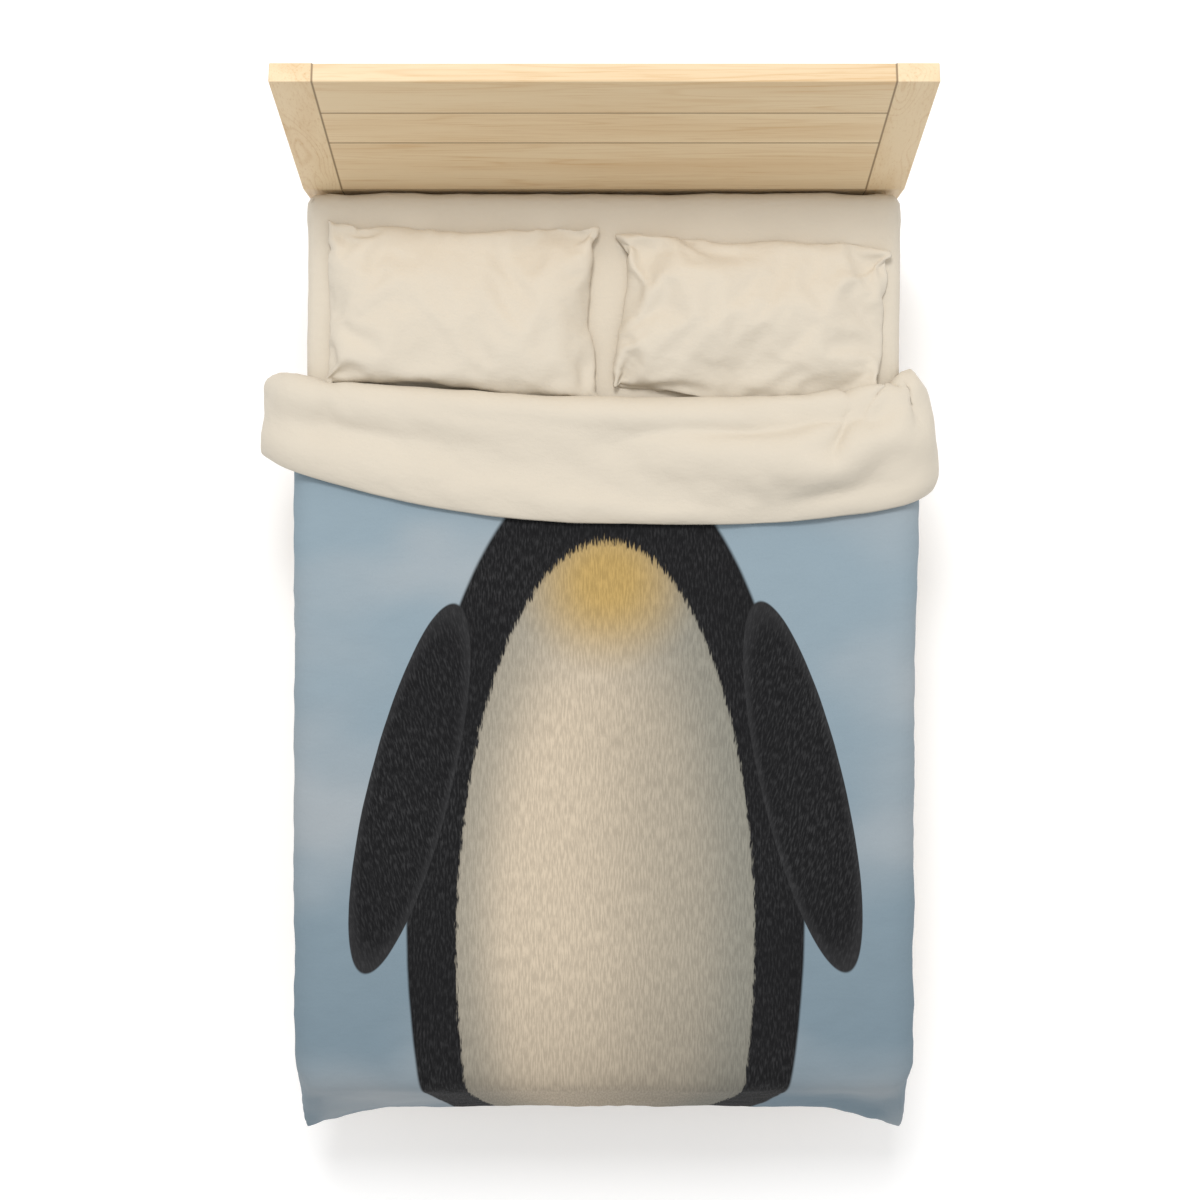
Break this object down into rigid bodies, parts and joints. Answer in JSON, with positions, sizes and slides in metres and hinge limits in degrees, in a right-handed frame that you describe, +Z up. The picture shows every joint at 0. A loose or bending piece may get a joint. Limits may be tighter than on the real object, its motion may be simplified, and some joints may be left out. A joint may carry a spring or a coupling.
{
  "type": "made bed with printed duvet",
  "caption": "Double bed, made up: slatted maple frame with raked plank headboard, mattress, fitted sheet, pillows and a turned-down duvet printed with a penguin.",
  "frame": {"origin": "on the floor under the middle of the mattress, at the foot of the middle centre leg", "axes": "+Z up, +Y towards the headboard, +X to the right seen from the foot end"},
  "size_m": [1.561, 2.384, 1.0573],
  "materials": {
    "maple": "satin",
    "pine": "matte",
    "beech": "matte",
    "zinc_steel": "satin",
    "felt": "matte",
    "ticking": "matte",
    "foam": "matte",
    "sheet_cotton": "matte",
    "elastic": "matte",
    "pillow_filling": "matte",
    "pillowcase_cotton": "matte",
    "duvet_print": "matte",
    "duvet_filling": "matte",
    "zip_tape": "matte",
    "zip_metal": "satin"
  },
  "bodies": {
    "bed_frame": {"headboard_post_left": "maple", "headboard_post_right": "maple", "headboard_lower_plank": "maple", "headboard_middle_plank": "maple", "headboard_top_plank": "maple", "headboard_base_board": "maple", "head_rail": "maple", "foot_rail": "maple", "side_rail_left": "maple", "side_rail_right": "maple", "foot_leg_left": "maple", "foot_leg_right": "maple", "centre_leg_1": "maple", "centre_leg_2": "maple", "centre_leg_3": "maple", "headboard_splines": "maple", "slat_01": "pine", "slat_02": "pine", "slat_03": "pine", "slat_04": "pine", "slat_05": "pine", "slat_06": "pine", "slat_07": "pine", "slat_08": "pine", "slat_09": "pine", "slat_10": "pine", "slat_11": "pine", "slat_12": "pine", "slat_13": "pine", "slat_ledge_left": "pine", "slat_ledge_right": "pine", "centre_beam": "pine", "headboard_dowels": "beech", "bed_bolts": "zinc_steel", "barrel_nuts": "zinc_steel", "leg_bolts": "zinc_steel", "threaded_inserts": "zinc_steel", "slat_screws": "zinc_steel", "ledge_screws": "zinc_steel", "centre_leg_bolts": "zinc_steel", "beam_hanger_foot": "zinc_steel", "beam_hanger_head": "zinc_steel", "foot_pads": "felt"},
    "mattress": {"mattress_cover": "ticking", "mattress_comfort_layer": "foam", "mattress_support_core": "foam", "fitted_sheet": "sheet_cotton", "fitted_sheet_elastic": "elastic"},
    "pillow_left": {"pillow_insert_left": "pillow_filling", "pillowcase_left": "pillowcase_cotton"},
    "pillow_right": {"pillow_insert_right": "pillow_filling", "pillowcase_right": "pillowcase_cotton"},
    "duvet": {"duvet_cover": "duvet_print", "duvet_filling": "duvet_filling", "duvet_corner_ties": "duvet_filling", "zip_chain": "zip_tape"},
    "zip_slider": {"zip_slider": "zip_metal"},
    "zip_pull": {"zip_pull": "zip_metal"}
  },
  "joints": [
    {"name": "mattress_lift", "type": "slide", "parent": "bed_frame", "child": "mattress", "axis": [0, 0, 1], "range_m": [0, 0.3]},
    {"name": "duvet_lift", "type": "slide", "parent": "mattress", "child": "duvet", "axis": [0, 0, 1], "range_m": [0, 0.5]},
    {"name": "pillow_left_lift", "type": "slide", "parent": "mattress", "child": "pillow_left", "axis": [0, 0, 1], "range_m": [0, 0.3]},
    {"name": "pillow_right_lift", "type": "slide", "parent": "mattress", "child": "pillow_right", "axis": [0, 0, 1], "range_m": [0, 0.3]},
    {"name": "zip_slide", "type": "slide", "parent": "duvet", "child": "zip_slider", "axis": [1, 0, 0], "range_m": [0, 1.146]},
    {"name": "zip_pull_swing", "type": "hinge", "parent": "zip_slider", "child": "zip_pull", "pos_m": [-0.573, -1.17, 0.24], "axis": [1, 0, 0], "range_deg": [-90, 90]}
  ]
}
